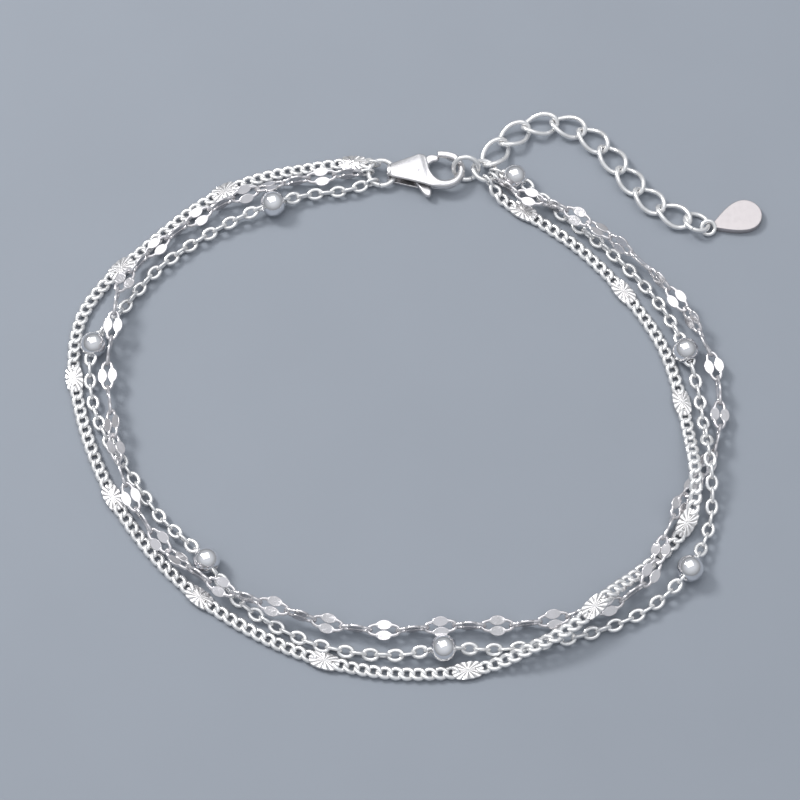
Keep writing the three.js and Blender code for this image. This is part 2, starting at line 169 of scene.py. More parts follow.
def laid_line(route):
    """Points close together along the smooth line on which a strand lies, given its route in mm."""
    rows = [np.array(row, float) * MM for row in route]
    rows = [2 * rows[0] - rows[1], *rows, 2 * rows[-1] - rows[-2]]
    line = []
    for a, b, c, d in zip(rows, rows[1:], rows[2:], rows[3:]):
        ab, bc, cd = (math.sqrt(np.linalg.norm(q - p)) for p, q in ((a, b), (b, c), (c, d)))
        leave = ((b - a) / ab - (c - a) / (ab + bc) + (c - b) / bc) * bc
        arrive = ((c - b) / bc - (d - b) / (bc + cd) + (d - c) / cd) * bc
        for t in np.linspace(0, 1, STEPS_PER_POINT, endpoint=False):
            bend = (3 * (c - b) - 2 * leave - arrive) * t**2 + (2 * (b - c) + leave + arrive) * t**3
            line.append(b + leave * t + bend)
    line.append(rows[-2])
    return np.array(line)


def line_length(line):
    return float(np.linalg.norm(np.diff(line, axis=0), axis=1).sum())


def along_line(line, distances):
    """The points at some distances along a line, which runs on straight past its ends."""
    first, last = line[0] - line[1], line[-1] - line[-2]
    reach = 0.02
    longer = np.vstack([
        line[0] + first / np.linalg.norm(first) * reach, line, line[-1] + last / np.linalg.norm(last) * reach,
    ])
    travelled = np.concatenate([[0], np.cumsum(np.linalg.norm(np.diff(longer, axis=0), axis=1))]) - reach
    return np.stack([np.interp(distances, travelled, longer[:, k]) for k in range(3)], axis=1)


def link_centres(line, count, pitch, start):
    """A path that turns at the links' ends, so that each link lies along one straight stretch of it."""
    return along_line(line, start - pitch / 2 + np.arange(count + 1) * pitch)


def path_object(name, points, rolls=None):
    """A path as a mesh of edges. Where links lie rolled over, each has its angle at its middle."""
    points = [Vector(p) for p in points]
    values = [0.0] * len(points)
    if rolls is not None:
        middles = [(a + b) / 2 for a, b in zip(points, points[1:])]
        points = [p for pair in zip(points, middles) for p in pair] + points[-1:]
        values = [r for roll in rolls for r in (roll, roll)] + [rolls[-1]]
    mesh = bpy.data.meshes.new(name)
    mesh.from_pydata(points, [(i, i + 1) for i in range(len(points) - 1)], [])
    mesh.attributes.new("roll", "FLOAT", "POINT").data.foreach_set("value", values)
    return shown(name, mesh)


def tipped_forward(points, angle):
    """Rolls that tip the links of a path over towards the front, most where it runs across."""
    return [angle * float(step[0] / np.linalg.norm(step)) for step in np.diff(points, axis=0)]


def new_tree(name, sockets, output="NodeSocketGeometry"):
    """A Geometry Nodes group with its named inputs. Returns the group, its inputs and its output."""
    tree = bpy.data.node_groups.new(name, "GeometryNodeTree")
    for socket, kind in sockets.items():
        tree.interface.new_socket(socket, in_out="INPUT", socket_type=kind)
    tree.interface.new_socket("Geometry", in_out="OUTPUT", socket_type=output)
    return tree, tree.nodes.new("NodeGroupInput").outputs, tree.nodes.new("NodeGroupOutput").inputs[0]


FLOAT, INTEGER, GEOMETRY = "NodeSocketFloat", "NodeSocketInt", "NodeSocketGeometry"
LINK_SIZES = {
    "Link length": FLOAT, "Link width": FLOAT, "Wire": FLOAT, "Twist": FLOAT, "Flatness": FLOAT,
    "Half height": FLOAT, "Steps": INTEGER, "Sides": INTEGER,
}
LAY_SIZES = {
    "Count": INTEGER, "Pitch": FLOAT, "Start": FLOAT, "Turn": FLOAT, "Wander": FLOAT, "Seed": INTEGER,
    "Gap first": FLOAT, "Gap pitch": FLOAT, "Gap half": FLOAT,
}


def maths(tree, operation, first, second=0.0):
    node = add_node(tree, "ShaderNodeMath", {0: first, 1: second}, operation=operation)
    return node.outputs[0]


# One link: a circle stretched to an oval, twisted along its length, with wire run round it. Its
# faces are then rolled flat at a height above and below.
wire_link, given, result = new_tree("oval wire link", LINK_SIZES)
circle = add_node(wire_link, "GeometryNodeCurvePrimitiveCircle", {"Resolution": given["Steps"], "Radius": 1.0})
spot = add_node(wire_link, "ShaderNodeSeparateXYZ", {0: add_node(wire_link, "GeometryNodeInputPosition").outputs[0]})
half_length = maths(wire_link, "MULTIPLY", maths(wire_link, "SUBTRACT", given["Link length"], given["Wire"]), 0.5)
half_width = maths(wire_link, "MULTIPLY", maths(wire_link, "SUBTRACT", given["Link width"], given["Wire"]), 0.5)
oval = add_node(wire_link, "ShaderNodeCombineXYZ", {
    0: maths(wire_link, "MULTIPLY", spot.outputs[0], half_length),
    1: maths(wire_link, "MULTIPLY", spot.outputs[1], half_width),
})
twisted = add_node(wire_link, "ShaderNodeVectorRotate", {
    "Vector": oval.outputs[0], "Angle": maths(wire_link, "MULTIPLY", given["Twist"], spot.outputs[0]),
}, rotation_type="X_AXIS")
bent = add_node(wire_link, "GeometryNodeSetPosition", {
    "Geometry": circle.outputs[0], "Position": twisted.outputs[0],
})
section = add_node(wire_link, "GeometryNodeCurvePrimitiveCircle", {
    "Resolution": given["Sides"], "Radius": maths(wire_link, "MULTIPLY", given["Wire"], 0.5),
})
wired = add_node(wire_link, "GeometryNodeCurveToMesh", {
    "Curve": bent.outputs[0], "Profile Curve": section.outputs[0],
})
spot = add_node(wire_link, "ShaderNodeSeparateXYZ", {0: add_node(wire_link, "GeometryNodeInputPosition").outputs[0]})
rolled_flat = add_node(wire_link, "ShaderNodeClamp", {
    "Value": maths(wire_link, "MULTIPLY", spot.outputs[2], given["Flatness"]),
    "Min": maths(wire_link, "MULTIPLY", given["Half height"], -1.0), "Max": given["Half height"],
})
flat = add_node(wire_link, "GeometryNodeSetPosition", {
    "Geometry": wired.outputs[0], "Position": add_node(wire_link, "ShaderNodeCombineXYZ", {
        0: spot.outputs[0], 1: spot.outputs[1], 2: rolled_flat.outputs[0],
    }).outputs[0],
})
smooth = add_node(wire_link, "GeometryNodeSetShadeSmooth", {"Geometry": flat.outputs[0]})
wire_link.links.new(smooth.outputs[0], result)

# Laying: copies of one item at even distances along a path, each rolled about the path.
laying, given, result = new_tree("lay along a path", {"Path": GEOMETRY, "Item": GEOMETRY, **LAY_SIZES})
strand = add_node(laying, "GeometryNodeMeshToCurve", {"Mesh": given["Path"]})
number = add_node(laying, "GeometryNodeInputIndex").outputs[0]
distance = maths(laying, "ADD", given["Start"], maths(laying, "MULTIPLY", number, given["Pitch"]))
roll_there = add_node(laying, "GeometryNodeInputNamedAttribute", {"Name": "roll"}, data_type="FLOAT")
sample = add_node(laying, "GeometryNodeSampleCurve", {
    "Curves": strand.outputs[0], "Value": roll_there.outputs[0], "Length": distance,
}, mode="LENGTH", data_type="FLOAT")
chance = add_node(laying, "FunctionNodeRandomValue", {
    2: -1.0, 3: 1.0, "ID": number, "Seed": given["Seed"],
}, data_type="FLOAT")
roll = maths(laying, "ADD", sample.outputs["Value"], maths(
    laying, "ADD",
    maths(laying, "MULTIPLY", given["Turn"], maths(laying, "MODULO", number, 2.0)),
    maths(laying, "MULTIPLY", given["Wander"], chance.outputs[1]),
))
spots = add_node(laying, "GeometryNodePoints", {"Count": given["Count"], "Position": sample.outputs["Position"]})
facing = add_node(laying, "FunctionNodeAxesToRotation", {
    "Primary Axis": sample.outputs["Tangent"], "Secondary Axis": (0, 0, 1),
}, primary_axis="X", secondary_axis="Z")
rolled = add_node(laying, "FunctionNodeRotateRotation", {
    "Rotation": facing.outputs[0],
    "Rotate By": add_node(laying, "FunctionNodeEulerToRotation", {
        0: add_node(laying, "ShaderNodeCombineXYZ", {0: roll}).outputs[0],
    }).outputs[0],
}, rotation_space="LOCAL")
near_gap = maths(
    laying, "PINGPONG", maths(laying, "SUBTRACT", distance, given["Gap first"]),
    maths(laying, "MULTIPLY", given["Gap pitch"], 0.5),
)
laid = add_node(laying, "GeometryNodeInstanceOnPoints", {
    "Points": spots.outputs[0], "Instance": given["Item"], "Rotation": rolled.outputs[0],
    "Selection": maths(laying, "GREATER_THAN", near_gap, given["Gap half"]),
})
laying.links.new(laid.outputs[0], result)


def laying_tree(name, item_sockets, make_item):
    """A whole tree: makes or fetches an item, lays it along the path, and gives it its material."""
    sockets = {"Path": GEOMETRY, **item_sockets, **LAY_SIZES, "Material": "NodeSocketMaterial"}
    tree, given, result = new_tree(name, sockets)
    spread = add_node(tree, "GeometryNodeGroup", node_tree=laying)
    tree.links.new(given["Path"], spread.inputs["Path"])
    tree.links.new(make_item(tree, given), spread.inputs["Item"])
    for socket in LAY_SIZES:
        tree.links.new(given[socket], spread.inputs[socket])
    single = add_node(tree, "GeometryNodeRealizeInstances", {"Geometry": spread.outputs[0]})
    finished = add_node(tree, "GeometryNodeSetMaterial", {
        "Geometry": single.outputs[0], "Material": given["Material"],
    })
    tree.links.new(finished.outputs[0], result)
    return tree


def wire_item(tree, given):
    link = add_node(tree, "GeometryNodeGroup", node_tree=wire_link)
    for socket in LINK_SIZES:
        tree.links.new(given[socket], link.inputs[socket])
    return link.outputs[0]


def fetched_item(tree, given):
    return add_node(tree, "GeometryNodeObjectInfo", {"Object": given["Item"]}).outputs["Geometry"]


wire_chain_tree = laying_tree("wire chain", LINK_SIZES, wire_item)
item_chain_tree = laying_tree("chain of items", {"Item": "NodeSocketObject"}, fetched_item)
PLAIN_LAY = {"Turn": 0.0, "Wander": 0.0, "Seed": 1, "Gap first": 0.0, "Gap pitch": 1.0, "Gap half": -1.0}
PLAIN_LINK = {"Twist": 0.0, "Flatness": 1.0, "Half height": 1.0, "Steps": 16, "Sides": 6}


def grown(name, path, tree, sizes):
    """Runs a tree on a path and keeps the result as a plain mesh at the origin."""
    modifier = path.modifiers.new("laid", "NODES")
    modifier.node_group = tree
    for socket in tree.interface.items_tree:
        if socket.in_out == "INPUT" and socket.name in sizes:
            modifier[socket.identifier] = sizes[socket.name]
    bpy.context.view_layer.update()
    ready = path.evaluated_get(bpy.context.evaluated_depsgraph_get())
    mesh = bpy.data.meshes.new_from_object(ready)
    path.modifiers.remove(modifier)
    bpy.data.objects.remove(path)
    mesh.name = name
    for extra in [a.name for a in mesh.attributes if a.name == "roll"]:
        mesh.attributes.remove(mesh.attributes[extra])
    return shown(name, mesh)


# Silver: near-white metal. Its shine is broken by fine scratches. Its colour darkens in random blotches, and in its
# hollows, where the darker colour is painted shade.
silver_look = bpy.data.node_groups.new("silver surface", "ShaderNodeTree")
for socket, kind in {
    "Bright": "NodeSocketColor", "Dull": "NodeSocketColor", "Shine": FLOAT, "Haze": FLOAT,
    "Grain": FLOAT, "Scratch": FLOAT, "Dents": FLOAT,
}.items():
    silver_look.interface.new_socket(socket, in_out="INPUT", socket_type=kind)
for socket, kind in {"Color": "NodeSocketColor", "Roughness": FLOAT, "Normal": "NodeSocketVector"}.items():
    silver_look.interface.new_socket(socket, in_out="OUTPUT", socket_type=kind)
given = silver_look.nodes.new("NodeGroupInput").outputs
result = silver_look.nodes.new("NodeGroupOutput").inputs
place = add_node(silver_look, "ShaderNodeTexCoord").outputs["Object"]
cloud = add_node(silver_look, "ShaderNodeTexNoise", {"Vector": place, "Scale": given["Grain"], "Detail": 4.0})
fine = add_node(silver_look, "ShaderNodeTexNoise", {
    "Vector": place, "Scale": maths(silver_look, "MULTIPLY", given["Grain"], 9.0), "Detail": 2.0,
})
streaks = add_node(silver_look, "ShaderNodeMapping", {"Vector": place, "Scale": (1, 9, 3), "Rotation": (0, 0, 0.6)})
lines = add_node(silver_look, "ShaderNodeTexNoise", {
    "Vector": streaks.outputs[0], "Scale": maths(silver_look, "MULTIPLY", given["Grain"], 4.0), "Detail": 5.0,
})
# Painted shade: where the surface is hollow (low pointiness), the colour goes to the darker one, in place of the
# shade that falls there.
hollow = add_node(silver_look, "ShaderNodeMapRange", {
    "Value": add_node(silver_look, "ShaderNodeNewGeometry").outputs["Pointiness"],
    "From Min": 0.40, "From Max": 0.50, "To Min": 1.0, "To Max": 0.0,
})
blotch = add_node(silver_look, "ShaderNodeMapRange", {
    "Value": cloud.outputs["Fac"], "From Min": 0.45, "From Max": 0.75, "To Min": 0.0, "To Max": 0.35,
})
# The mask for the darker colour: painted hollow shade, and random blotches of tone. The same mask also roughens the
# surface.
shade_and_blotch_mask = maths(silver_look, "MAXIMUM", hollow.outputs[0], blotch.outputs[0])
colour = add_node(silver_look, "ShaderNodeMixRGB", {
    "Fac": shade_and_blotch_mask, "Color1": given["Bright"], "Color2": given["Dull"],
})
rough = maths(silver_look, "ADD", given["Shine"], maths(
    silver_look, "MULTIPLY", given["Haze"], maths(silver_look, "ADD", shade_and_blotch_mask, lines.outputs["Fac"]),
))
dents = add_node(silver_look, "ShaderNodeBump", {
    "Strength": given["Dents"], "Distance": 0.00012, "Height": cloud.outputs["Fac"],
})
scratches = add_node(silver_look, "ShaderNodeBump", {
    "Strength": given["Scratch"], "Distance": 0.00002, "Height": maths(
        silver_look, "ADD", lines.outputs["Fac"], fine.outputs["Fac"],
    ), "Normal": dents.outputs[0],
})
silver_look.links.new(colour.outputs[0], result["Color"])
silver_look.links.new(rough, result["Roughness"])
silver_look.links.new(scratches.outputs[0], result["Normal"])


def silver(name, metallic=1.0, **look):
    """A silver finish: the shared surface with its own values, on a plain metal shader."""
    material, tree, out = bare_material(name)
    surface = add_node(tree, "ShaderNodeGroup", node_tree=silver_look)
    for socket, value in look.items():
        surface.inputs[socket].default_value = value
    metal = add_node(tree, "ShaderNodeBsdfPrincipled", {
        "Base Color": surface.outputs["Color"], "Roughness": surface.outputs["Roughness"],
        "Normal": surface.outputs["Normal"], "Metallic": metallic,
    })
    tree.links.new(metal.outputs[0], out.inputs["Surface"])
    return material


# The second colour is the darker one, used for painted shade in hollows and for random blotches.
WHITE_SILVER, SHADE_AND_BLOTCH_GREY = (0.95, 0.94, 0.93, 1), (0.42, 0.405, 0.395, 1)
wire_silver = silver(
    "tumbled silver wire", metallic=0.72, Bright=WHITE_SILVER, Dull=SHADE_AND_BLOTCH_GREY, Shine=0.11, Haze=0.08,
    Grain=900.0, Scratch=0.25, Dents=0.2,
)

cable_line = laid_line(CABLE_ROUTE)
cable_count = round(line_length(cable_line) / CABLE_PITCH)
cable_pitch = line_length(cable_line) / cable_count
cable_points = link_centres(cable_line, cable_count, cable_pitch, cable_pitch / 2)
cable_links = grown(
    "cable_links",
    path_object("cable path", cable_points, tipped_forward(cable_points, CABLE_TIP)),
    wire_chain_tree,
    {
        **PLAIN_LINK, **PLAIN_LAY, **CABLE_LINK, "Count": cable_count, "Pitch": cable_pitch,
        "Start": cable_pitch / 2, "Turn": math.radians(90), "Wander": math.radians(9), "Seed": 4,
        "Material": wire_silver,
    },
)
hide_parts("cable_chain")
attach(cable_links, "root")

# ---------------------------------------------------------------------------------------------
# Balls
# Seven hollow silver balls, pressed in halves, soldered and polished to a mirror.
# The cable strand passes through them, and each end of the hole has a turned-in lip.
# ---------------------------------------------------------------------------------------------

BALL_POINTS = [3, 7, 12, 17, 22, 28, 33]
BALL_RADIUS = 1.55 * MM
BALL_MOUTH = 0.55 * MM
BALL_SIDES = 40
BALL_RINGS = 22

mirror_silver = silver(
    "mirror-polished silver", Bright=(0.96, 0.95, 0.96, 1), Dull=SHADE_AND_BLOTCH_GREY, Shine=0.03, Haze=0.025,
    Grain=420.0, Scratch=0.05, Dents=0.3,
)


def mesh_of(name, form):
    """Turns a finished form into a mesh with outward faces."""
    bmesh.ops.recalc_face_normals(form, faces=form.faces)
    mesh = bpy.data.meshes.new(name)
    form.to_mesh(mesh)
    form.free()
    return mesh


def joined(name, meshes, material):
    """Joins several meshes into one object, then discards them."""
    form = bmesh.new()
    for mesh in meshes:
        form.from_mesh(mesh)
    whole = mesh_of(name, form)
    for mesh in meshes:
        bpy.data.meshes.remove(mesh)
    whole.materials.clear()
    whole.materials.append(material)
    return shown(name, whole)


def turned(profile, sides):
    """A closed form turned about the X axis from a closed profile of (along, out) points."""
    form = bmesh.new()
    rings = []
    for k in range(sides):
        turn = 2 * math.pi * k / sides
        rings.append([form.verts.new((x, r * math.cos(turn), r * math.sin(turn))) for x, r in profile])
    for one, other in zip(rings, rings[1:] + rings[:1]):
        for i in range(len(profile)):
            j = (i + 1) % len(profile)
            form.faces.new((one[i], one[j], other[j], other[i])).smooth = True
    return form


def lying_on(line, k):
    """The place and direction of a point of a line, as a transform from the X axis."""
    along = Vector(line[k + 1] - line[k - 1]).normalized()
    side = Vector((0, 0, 1)).cross(along).normalized()
    turn = Matrix((along, side, along.cross(side))).transposed()
    return Matrix.Translation(Vector(line[k])) @ turn.to_4x4()


mouth_angle = math.asin(BALL_MOUTH / BALL_RADIUS)
ball_profile = [
    (-BALL_RADIUS * math.cos(t), BALL_RADIUS * math.sin(t))
    for t in np.linspace(mouth_angle, math.pi - mouth_angle, BALL_RINGS)
]
lip = BALL_RADIUS * math.cos(mouth_angle)
turned_in = [(lip - 0.06 * MM, BALL_MOUTH - 0.09 * MM), (lip - 0.3 * MM, BALL_MOUTH - 0.12 * MM)]
ball_profile += turned_in + [(-x, r) for x, r in reversed(turned_in)]

balls = []
for index in BALL_POINTS:
    ball = turned(ball_profile, BALL_SIDES)
    ball.transform(lying_on(cable_line, index * STEPS_PER_POINT))
    balls.append(mesh_of("ball", ball))
polished_balls = joined("polished_balls", balls, mirror_silver)
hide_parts(*[f"ball_{i + 1}" for i in range(len(BALL_POINTS))])
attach(polished_balls, "root")

# ---------------------------------------------------------------------------------------------
# Curb strand
# Flat curb chain: stout round wire links, each twisted so that the chain lies flat, then rolled
# to flatten its faces. The links stop on either side of each sunburst plate.
# ---------------------------------------------------------------------------------------------

CURB_ROUTE = [
    (-6.42, 29.52, 1.3), (-9.2, 29.95, 0.6), (-13.0, 29.4, 0.45), (-17.6, 28.5, 0.45), (-22.4, 26.8, 0.45),
    (-27.4, 23.6, 0.45), (-33.0, 18.3, 0.45), (-38.0, 13.1, 0.45), (-40.6, 8.4, 0.45), (-41.2, 3.0, 0.45),
    (-40.5, -2.0, 0.45), (-38.5, -8.8, 0.45), (-35.0, -16.2, 0.45), (-29.6, -23.4, 0.45), (-23.2, -29.0, 0.45),
    (-14.6, -33.8, 0.45), (-6.5, -36.2, 0.45), (1.0, -36.7, 0.48), (7.7, -35.8, 0.62), (12.5, -34.1, 2.1),
    (17.0, -31.9, 2.8), (20.8, -28.3, 2.9), (25.0, -24.5, 0.8), (29.2, -20.6, 0.45), (31.5, -16.6, 1.5),
    (31.8, -13.4, 2.4), (31.7, -10.4, 2.1), (31.4, -6.8, 0.9), (30.8, -2.6, 0.5), (29.0, 4.4, 0.45),
    (25.4, 10.8, 0.45), (19.8, 17.6, 0.45), (13.4, 22.7, 0.48), (10.2, 24.8, 0.52), (8.87, 26.37, 1.2),
]
CURB_LINK = {
    "Link length": 2.14 * MM, "Link width": 1.68 * MM, "Wire": 0.55 * MM, "Twist": math.radians(38),
    "Flatness": 0.85, "Half height": 0.30 * MM,
}
PLATE_FIRST = 1.9 * MM
PLATE_PITCH = 16.34 * MM
PLATE_COUNT = 13
LINKS_PER_PLATE = 13
PLATE_GAP_LINKS = 1.0

curb_pitch = PLATE_PITCH / LINKS_PER_PLATE
curb_line = laid_line(CURB_ROUTE)
curb_first = PLATE_FIRST - 1.5 * curb_pitch
curb_count = int((line_length(curb_line) - curb_first) / curb_pitch) + 1
curb_links = grown(
    "curb_links",
    path_object("curb path", link_centres(curb_line, curb_count, curb_pitch, curb_first)),
    wire_chain_tree,
    {
        **PLAIN_LINK, **PLAIN_LAY, **CURB_LINK, "Count": curb_count, "Pitch": curb_pitch,
        "Start": curb_pitch / 2, "Wander": math.radians(5), "Seed": 9,
        "Gap first": 2 * curb_pitch, "Gap pitch": PLATE_PITCH,
        "Gap half": PLATE_GAP_LINKS * curb_pitch, "Material": wire_silver,
    },
)
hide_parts("curb_chain")
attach(curb_links, "root")

# ---------------------------------------------------------------------------------------------
# Sunburst plates
# Oval plates stamped from sheet, with bright cuts that fan out from the middle to a wavy edge.
# A hole in each end takes the last link of the curb chain on either side.
# ---------------------------------------------------------------------------------------------

PLATE_LENGTH = 3.65 * MM
PLATE_WIDTH = 2.1 * MM
PLATE_EDGE = 0.40 * MM
PLATE_CROWN = 0.30 * MM
PLATE_BEVEL = 0.07 * MM
PLATE_CUT = 0.07 * MM
PLATE_RAYS = 14
PLATE_SPOKES = 8
PLATE_HOLE_AT = 1.08 * MM
PLATE_HOLE = 0.22 * MM


def sunburst_plate():
    """One plate about the origin: a crown of ridges and valleys above, and a plain face below."""
    form = bmesh.new()
    spokes = PLATE_RAYS * PLATE_SPOKES
    shares = (0.12, 0.35, 0.6, 0.82, 0.95, 1.0)
    loops = []
    for upper in (True, False):
        for share in shares if upper else reversed(shares):
            loop = []
            for k in range(spokes):
                turn = 2 * math.pi * k / spokes
                valley = (0.5 - 0.5 * math.cos(PLATE_RAYS * turn)) ** 4
                outline = (abs(math.cos(turn)) ** 2.9 + abs(math.sin(turn)) ** 2.9) ** (-1 / 2.9)
                reach = share * outline * (1 - 0.05 * valley * share)
                crown = PLATE_CROWN - (PLATE_CROWN - PLATE_EDGE / 2) * share**2 - PLATE_BEVEL * (share == 1)
                cut = PLATE_CUT * valley * min(1, share * 2.5)
                loop.append(form.verts.new((
                    PLATE_LENGTH / 2 * reach * math.cos(turn),
                    PLATE_WIDTH / 2 * reach * math.sin(turn),
                    crown - cut if upper else -PLATE_EDGE / 2 + PLATE_BEVEL * (share == 1),
                )))
            loops.append(loop)
    top, bottom = form.verts.new((0, 0, PLATE_CROWN * 0.92)), form.verts.new((0, 0, -PLATE_EDGE / 2))
    for k in range(spokes):
        j = (k + 1) % spokes
        form.faces.new((top, loops[0][k], loops[0][j]))
        form.faces.new((bottom, loops[-1][j], loops[-1][k]))
        for one, other in zip(loops, loops[1:]):
            form.faces.new((one[k], other[k], other[j], one[j]))
    return mesh_of("sunburst plate", form)


def drilled(mesh, centres, radius, depth):
    """Cuts upright round holes through a mesh, and returns it as an object."""
    thing = shown(mesh.name, mesh)
    drill = bmesh.new()
    for centre in centres:
        bmesh.ops.create_cone(
            drill, cap_ends=True, segments=14, radius1=radius, radius2=radius, depth=depth,
            matrix=Matrix.Translation(centre),
        )
    cutter = shown("drill", mesh_of("drill", drill))
    cut = thing.modifiers.new("holes", "BOOLEAN")
    cut.object, cut.operation, cut.solver = cutter, "DIFFERENCE", "EXACT"
    bpy.context.view_layer.update()
    thing.data = bpy.data.meshes.new_from_object(thing.evaluated_get(bpy.context.evaluated_depsgraph_get()))
    thing.modifiers.remove(cut)
    bpy.data.objects.remove(cutter)
    return thing


cut_silver = silver(
    "bright-cut silver", metallic=0.9, Bright=(0.76, 0.745, 0.74, 1), Dull=SHADE_AND_BLOTCH_GREY, Shine=0.14, Haze=0.05,
    Grain=900.0, Scratch=0.15, Dents=0.1,
)
plate = drilled(sunburst_plate(), [(s * PLATE_HOLE_AT, 0, 0) for s in (-1, 1)], PLATE_HOLE, 2 * MM)
sunburst_plates = grown(
    "sunburst_plates",
    path_object("plate path", curb_line),
    item_chain_tree,
    {
        **PLAIN_LAY, "Item": plate, "Count": PLATE_COUNT, "Pitch": PLATE_PITCH, "Start": PLATE_FIRST,
        "Wander": math.radians(4), "Seed": 3, "Material": cut_silver,
    },
)
bpy.data.objects.remove(plate)
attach(sunburst_plates, "root")

# ---------------------------------------------------------------------------------------------
# Pressed strand
# Longer links whose wire is round at the two ends, and hammered flat and wide along both sides.
# Each side is a pair of lips that almost meet. They are polished and lie flat or on edge.
# ---------------------------------------------------------------------------------------------

LIP_ROUTE = [
    (-7.25, 28.25, 1.26), (-8.95, 28.05, 1.46), (-11.2, 27.8, 1.3), (-17.3, 26.6, 1.3), (-23.4, 24.3, 1.3),
    (-29.0, 20.4, 1.3), (-33.4, 16.0, 1.5), (-36.3, 10.6, 2.62), (-36.38, 6.8, 2.68), (-37.0, 1.0, 1.9),
    (-36.2, -5.3, 2.1), (-34.9, -11.9, 2.3), (-32.2, -18.0, 1.5), (-27.8, -23.2, 1.6), (-22.5, -27.2, 2.65),
    (-16.2, -29.5, 2.5), (-9.9, -31.2, 1.4), (-3.3, -31.8, 1.3), (3.2, -31.2, 1.3), (9.7, -31.2, 1.3),
    (16.3, -30.2, 1.3), (22.2, -28.5, 1.3), (26.4, -25.1, 1.9), (28.0, -20.0, 1.6), (30.2, -15.8, 0.9),
    (33.9, -10.2, 0.95), (34.7, -8.2, 1.45), (35.2, -4.2, 1.32), (34.8, 2.0, 1.3), (33.0, 6.6, 1.8),
    (29.2, 12.2, 2.3), (24.7, 16.8, 2.8), (17.3, 22.4, 2.7), (11.9, 24.9, 2.0), (9.7, 27.03, 1.38),
]
# How each link lies, in order: f flat, e on edge, and the turns between them.
LIP_LIE = "eferlefefefefeferleferlefefefefe" + "refefefe" + "rlerlrefefuvfeuvrlefe"
LIE_ANGLE = {"f": 0, "r": 28, "u": 62, "e": 90, "v": 118, "l": 152}
# Sections of the wire from a link's tip to the middle of a lip, in mm: where each one is along and
# across the link, which way its wide side faces, in degrees, and how wide and thick it is.
LIP_SECTIONS = [
    (1.80, 0.0, 0, 0.40, 0.40), (1.71, 0.27, 35, 0.40, 0.40), (1.46, 0.46, 65, 0.40, 0.40),
    (1.18, 0.55, 80, 0.40, 0.40), (0.98, 0.585, 86, 0.40, 0.38), (0.86, 0.59, 90, 0.44, 0.34),
    (0.76, 0.595, 90, 0.60, 0.29), (0.62, 0.60, 90, 0.82, 0.26), (0.42, 0.60, 90, 1.02, 0.25),
    (0.2, 0.60, 90, 1.12, 0.25), (0.0, 0.60, 90, 1.15, 0.25),
]
LIP_ROLLED_EDGE = 0.06 * MM
LIP_TIP = math.radians(16)


def wire_outline(wide, thick):
    """The outline of the wire: round where it is as thick as wide, and a strip with soft edges elsewhere."""
    flatness = min(1, max(0, (wide / thick - 1) / 0.7))
    outline = []
    for k in range(12):
        turn = math.radians(30 * k + 15)
        round_point = (wide / 2 * math.cos(turn), thick / 2 * math.sin(turn))
        corner = (math.copysign(1, math.cos(turn)), math.copysign(1, math.sin(turn)))
        near_x = LIP_ROLLED_EDGE * (0, 0.29, 1)[k % 3 if (k // 3) % 2 == 0 else 2 - k % 3]
        near_y = LIP_ROLLED_EDGE * (1, 0.29, 0)[k % 3 if (k // 3) % 2 == 0 else 2 - k % 3]
        strip_point = (corner[0] * (wide / 2 - near_x), corner[1] * (thick / 2 - near_y))
        outline.append([r + (s - r) * flatness for r, s in zip(round_point, strip_point)])
    return outline, flatness


def pressed_link():
    """One link about the origin, lying flat along X."""
    quarter = [(x * MM, y * MM, math.radians(f), w * MM, t * MM) for x, y, f, w, t in LIP_SECTIONS]
    sections = quarter[:-1] + [(-x, y, math.pi - f, w, t) for x, y, f, w, t in reversed(quarter[1:])]
    sections = sections + [(-x, -y, f + math.pi, w, t) for x, y, f, w, t in sections]
    form = bmesh.new()
    rings = []
    for x, y, facing, wide, thick in sections:
        outline, flatness = wire_outline(wide, thick)
        ring = [form.verts.new((x + math.cos(facing) * a, y + math.sin(facing) * a, b)) for a, b in outline]
        rings.append((ring, flatness))
    for (one, flat_one), (other, flat_other) in zip(rings, rings[1:] + rings[:1]):
        for i in range(12):
            j = (i + 1) % 12
            form.faces.new((one[i], one[j], other[j], other[i])).smooth = True
            edge = form.edges.get((one[i], other[i]))
            edge.smooth = not (i in (2, 3, 8, 9) and min(flat_one, flat_other) > 0.9)
    return mesh_of("pressed link", form)


pressed_silver = silver(
    "pressed silver", metallic=0.8, Bright=(0.78, 0.755, 0.765, 1), Dull=SHADE_AND_BLOTCH_GREY, Shine=0.08, Haze=0.05,
    Grain=420.0, Scratch=0.1, Dents=0.7,
)
lip_line = laid_line(LIP_ROUTE)
lip_count = len(LIP_LIE)
lip_spacing = line_length(lip_line) / lip_count
lip_points = link_centres(lip_line, lip_count, lip_spacing, lip_spacing / 2)
lip_pitch = line_length(lip_points) / lip_count
lip_link = shown("pressed link", pressed_link())
pressed_links = grown(
    "pressed_links",
    path_object("pressed path", lip_points, [
        math.radians(LIE_ANGLE[lie]) + (tip if lie == "f" else 0)
        for lie, tip in zip(LIP_LIE, tipped_forward(lip_points, LIP_TIP))
    ]),
    item_chain_tree,
    {
        **PLAIN_LAY, "Item": lip_link, "Count": lip_count, "Pitch": lip_pitch, "Start": lip_pitch / 2,
        "Wander": math.radians(8), "Seed": 6, "Material": pressed_silver,
    },
)
bpy.data.objects.remove(lip_link)
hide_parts("pressed_chain")
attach(pressed_links, "root")

# ---------------------------------------------------------------------------------------------
# End links
# A small soldered link of round wire ends each strand. It stands on edge, with the wire of a
# ring in one end and the strand's last link in the other.
# ---------------------------------------------------------------------------------------------

END_LINK = {"Link length": 2.1 * MM, "Link width": 1.64 * MM, "Wire": 0.36 * MM}
END_REACH = 0.77 * MM

